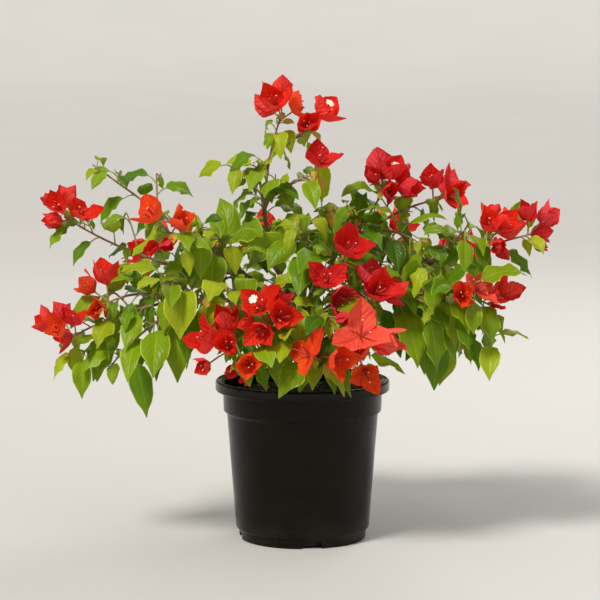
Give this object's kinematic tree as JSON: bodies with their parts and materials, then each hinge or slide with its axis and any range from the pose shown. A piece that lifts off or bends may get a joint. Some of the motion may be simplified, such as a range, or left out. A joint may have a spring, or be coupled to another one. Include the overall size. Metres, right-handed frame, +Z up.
{
  "type": "potted bougainvillea",
  "caption": "Bushy bougainvillea with papery red bracts and drooping oval leaves on arching woody stems, growing in a plain round black plastic nursery pot.",
  "frame": {"origin": "centre of the pot's flat underside, where the plant stands", "axes": "+Z up along the pot's axis, -Y towards the side that the plant has grown towards, +X to the right when looking at that side"},
  "size_m": [0.5228, 0.3352, 0.4532],
  "materials": {
    "plastic": "satin",
    "mix": "matte",
    "bark": "matte",
    "foliage": "satin"
  },
  "bodies": {
    "root": {"pot": "plastic", "potting_mix": "mix", "trunk": "bark", "bough_leader": "bark", "bough_left_upper": "bark", "bough_left_lower": "bark", "bough_right_upper": "bark", "bough_right_outer": "bark", "bough_right_lower": "bark", "bough_centre": "bark", "bough_front_left": "bark", "bough_front_right": "bark", "bough_back_left": "bark", "bough_back_right": "bark", "bough_back_high": "bark", "bough_back_low": "bark", "foliage_leader": "foliage", "foliage_left_upper": "foliage", "foliage_left_lower": "foliage", "foliage_right_upper": "foliage", "foliage_right_outer": "foliage", "foliage_right_lower": "foliage", "foliage_centre": "foliage", "foliage_front_left": "foliage", "foliage_front_right": "foliage", "foliage_back_left": "foliage", "foliage_back_right": "foliage", "foliage_back_high": "foliage", "foliage_back_low": "foliage"}
  },
  "joints": []
}
